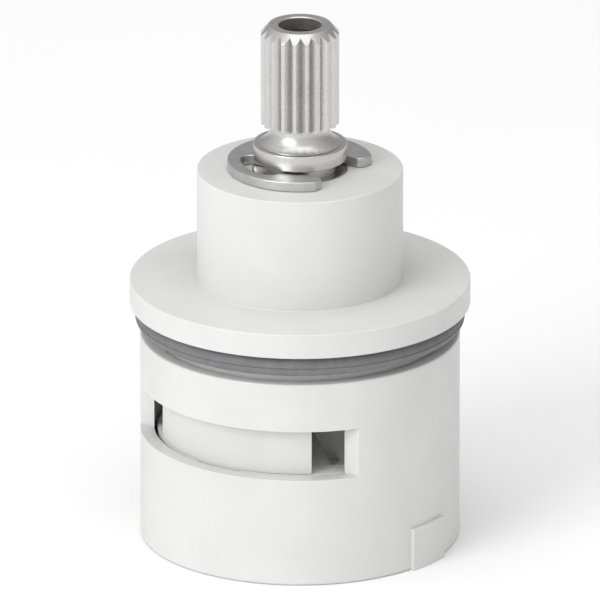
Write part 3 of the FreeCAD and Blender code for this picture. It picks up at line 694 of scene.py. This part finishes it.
def moulded_rubber(name, colour, roughness):
    """Moulded rubber: matt, faint bloom, a fine uneven skin, and painted shade in creases."""
    finish = Finish(name, colour)
    bloom = finish.noise(scale=0.6, detail=5.0, distortion=0.8)
    finish.tint(finish.spread(bloom, low=0.4, high=0.7), shade=1.35, strength=0.6)
    finish.tint(finish.edge_wear(radius=0.2), shade=1.3, strength=0.4)
    # Painted shade: colour darkened in tight creases
    finish.tint(finish.painted_crease_shade(reach=0.2), shade=0.35, strength=0.8)
    finish.rough(finish.noise(scale=2.0, detail=4.0), low=roughness - 0.08, high=roughness + 0.08)
    finish.relief(finish.noise(scale=6.0, detail=4.0), depth=0.008, strength=0.6)
    return finish.material


def lapped_ceramic(name, colour, roughness):
    """Lapped alumina: dense, faintly mottled, with a soft gloss and painted shade along corners
    and gaps.
    """
    finish = Finish(name, colour)
    mottle = finish.noise(scale=1.8, detail=5.0)
    finish.tint(finish.spread(mottle, low=0.4, high=0.65), shade=0.96, strength=1.0)
    # Painted shade: colour darkened along gaps and port edges
    finish.tint(finish.painted_crease_shade(reach=0.4), shade=0.6, strength=0.7)
    finish.tint(finish.edge_wear(radius=0.15), shade=1.04, strength=0.6)
    finish.rough(finish.noise(scale=3.0, detail=4.0), low=roughness - 0.05, high=roughness + 0.07)
    finish.relief(finish.noise(scale=14.0, detail=2.0), depth=0.002, strength=0.5)
    return finish.material


def floor_paper(name, colour):
    """Pale matt floor that can be seen through from below."""
    finish = Finish(name, colour)
    cloud = finish.noise(scale=0.02, detail=3.0)
    finish.tint(finish.spread(cloud, low=0.3, high=0.7), shade=0.985, strength=1.0)
    finish.relief(finish.noise(scale=0.5, detail=3.0), depth=0.01, strength=0.2)
    finish.shader.inputs["Roughness"].default_value = FLOOR_ROUGHNESS
    finish.shader.inputs["Specular IOR Level"].default_value = FLOOR_SPECULAR
    facing = finish.add("ShaderNodeNewGeometry")
    clear = finish.add("ShaderNodeBsdfTransparent")
    mix = finish.add("ShaderNodeMixShader")
    finish.join(facing.outputs["Backfacing"], mix.inputs[0])
    finish.join(finish.shader.outputs[0], mix.inputs[1])
    finish.join(clear.outputs[0], mix.inputs[2])
    finish.join(mix.outputs[0], finish.tree.nodes["Material Output"].inputs["Surface"])
    return finish.material


def direction(azimuth, elevation):
    """Unit vector towards a place given in degrees, with azimuth 0 on -Y and 90 on +X."""
    a, e = math.radians(azimuth), math.radians(elevation)
    return Vector((math.sin(a) * math.cos(e), -math.cos(a) * math.cos(e), math.sin(e)))


def aim(item, target):
    """Turn a light or the camera towards a point."""
    item.rotation_euler = (target - item.location).to_track_quat("-Z", "Y").to_euler()


def make_light(name, azimuth, elevation, distance, width, power):
    """Square soft light that faces the middle of the part."""
    lamp = bpy.data.lights.new(name, "AREA")
    lamp.shape = "SQUARE"
    lamp.size = width
    lamp.energy = power
    item = new_object(name, lamp)
    item.location = direction(azimuth, elevation) * distance
    aim(item, Vector((0, 0, FRAME_CENTRE)))


def make_surround():
    """A world that fades from bright, ahead and to the left of the part, to dim behind it."""
    world = bpy.data.worlds.new("surround")
    world.use_nodes = True
    tree = world.node_tree
    facing = tree.nodes.new("ShaderNodeTexCoord")
    compare = tree.nodes.new("ShaderNodeVectorMath")
    compare.operation = "DOT_PRODUCT"
    compare.inputs[1].default_value = direction(SURROUND_AZIMUTH, SURROUND_ELEVATION)
    fade = tree.nodes.new("ShaderNodeMapRange")
    height = tree.nodes.new("ShaderNodeSeparateXYZ")
    below = tree.nodes.new("ShaderNodeMapRange")
    for node, limits in ((fade, SURROUND_FADE), (below, SURROUND_SINK)):
        node.interpolation_type = "SMOOTHSTEP"
        node.inputs["From Min"].default_value, node.inputs["From Max"].default_value = limits
    fade.inputs["To Min"].default_value = SURROUND_DIM
    fade.inputs["To Max"].default_value = SURROUND_BRIGHT
    either = tree.nodes.new("ShaderNodeMix")
    either.inputs["B"].default_value = SURROUND_BELOW
    tree.links.new(facing.outputs["Generated"], compare.inputs[0])
    tree.links.new(facing.outputs["Generated"], height.inputs[0])
    tree.links.new(height.outputs["Z"], below.inputs["Value"])
    tree.links.new(compare.outputs["Value"], fade.inputs["Value"])
    tree.links.new(below.outputs["Result"], either.inputs["Factor"])
    tree.links.new(fade.outputs["Result"], either.inputs["A"])
    tree.links.new(either.outputs["Result"], tree.nodes["Background"].inputs["Strength"])
    tree.nodes["Background"].inputs["Color"].default_value = (1, 1, 1, 1)
    bpy.context.scene.world = world


def make_floor(material):
    """A wide disc, open where the part covers it, so that light reaches the ports from below."""
    swing = math.degrees(math.asin((TAB_WIDTH / 2 - FLOOR_TUCK) / TAB_RADIUS))
    inside = []
    outside = []
    for degrees in np.arange(FLOOR_STEPS) * 360 / FLOOR_STEPS:
        off_tab = abs((degrees - TAB_TURN + 180) % 360 - 180)
        reach = (TAB_RADIUS if off_tab < swing else BODY_RADIUS) - FLOOR_TUCK
        across, along = math.cos(math.radians(degrees)), math.sin(math.radians(degrees))
        inside.append((reach * MM * across, reach * MM * along, 0))
        outside.append((FLOOR_RADIUS * across, FLOOR_RADIUS * along, 0))
    faces = []
    for index in range(FLOOR_STEPS):
        after = (index + 1) % FLOOR_STEPS
        faces.append((index, FLOOR_STEPS + index, FLOOR_STEPS + after, after))
    mesh = bpy.data.meshes.new("floor")
    mesh.from_pydata(inside + outside, [], faces)
    mesh.materials.append(material)
    new_object("floor", mesh)


def make_studio():
    """Surround, floor and lights."""
    bpy.context.scene.view_settings.view_transform = "Standard"
    make_surround()
    make_floor(floor_paper("floor_paper", colour=(0.95, 0.95, 0.95)))
    make_light("key_light", **KEY_LIGHT)
    make_light("top_light", **TOP_LIGHT)


def make_camera():
    """Long lens at the photograph's angle."""
    lens = bpy.data.cameras.new("camera")
    lens.sensor_width = CAMERA_SENSOR
    lens.lens = CAMERA_SENSOR * CAMERA_DISTANCE / FRAME_WIDTH
    lens.clip_end = CAMERA_REACH
    item = new_object("camera", lens)
    target = Vector((0, 0, FRAME_CENTRE))
    item.location = target + direction(CAMERA_AZIMUTH, CAMERA_ELEVATION) * CAMERA_DISTANCE
    aim(item, target)
    bpy.context.scene.camera = item


housing_white = moulded_plastic("housing_plastic", colour=(0.68, 0.68, 0.67), roughness=0.42)
inner_white = moulded_plastic("inner_plastic", colour=(0.67, 0.67, 0.655), roughness=0.45)
slip_white = moulded_plastic("slip_plastic", colour=(0.85, 0.85, 0.83), roughness=0.3, grain=0.002)
alumina = lapped_ceramic("ceramic", colour=(0.86, 0.86, 0.85), roughness=0.2)
rubber = moulded_rubber("seal_rubber", colour=(0.16, 0.16, 0.165), roughness=0.6)
plated = turned_metal("stem_metal", colour=(0.64, 0.63, 0.615), roughness=0.3)
spring_steel = stamped_steel("clip_steel", colour=(0.6, 0.6, 0.6), roughness=0.34)

make_studio()
make_camera()
make_sleeve(housing_white)
make_bonnet(housing_white)
make_flange_ring(rubber)
make_stem(plated)
make_clip(spring_steel)
dress_nodes(("disc_carrier", "base_insert"), inner_white)
dress_nodes(("fixed_disc", "moving_disc"), alumina)
dress_nodes(("slip_ring", "thrust_washer"), slip_white, SLIP_EDGE)
dress_nodes(("stop_ring",), spring_steel)
for number in range(1, 5):
    dress_nodes((f"bottom_seal_{number}", f"disc_seal_{number}"), rubber)
dress_nodes(("stem_o_ring_upper", "stem_o_ring_lower"), rubber, edge=0)
